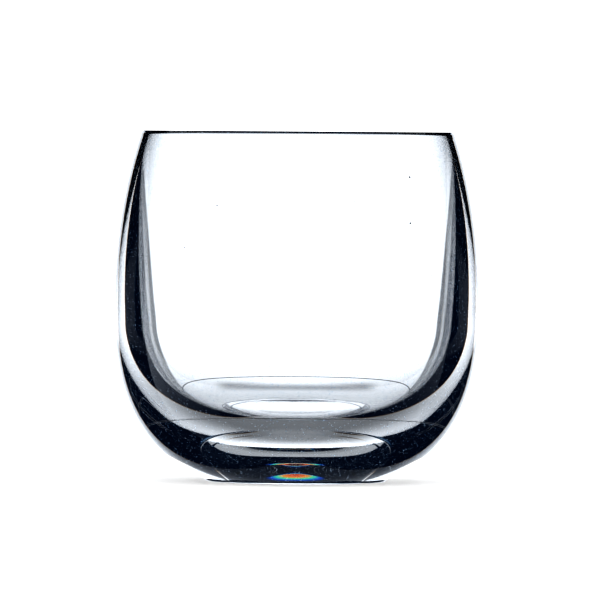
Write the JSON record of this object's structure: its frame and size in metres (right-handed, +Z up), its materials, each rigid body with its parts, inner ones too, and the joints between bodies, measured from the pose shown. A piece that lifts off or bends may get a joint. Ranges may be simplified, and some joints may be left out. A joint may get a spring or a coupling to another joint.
{
  "type": "whiskey tumbler",
  "caption": "Rounded stemless drinking glass with a heavy base, an open mouth and a flat foot, in clear glass.",
  "frame": {"origin": "centre of the foot, on the surface that the tumbler stands on", "axes": "+Z up along the glass's axis of revolution, towards the mouth; X and Y are any two horizontal directions at right angles"},
  "size_m": [0.0886, 0.0886, 0.085],
  "materials": {
    "glass": "clear, fire-polished"
  },
  "bodies": {
    "root": {"tumbler_body": "glass"}
  },
  "joints": []
}
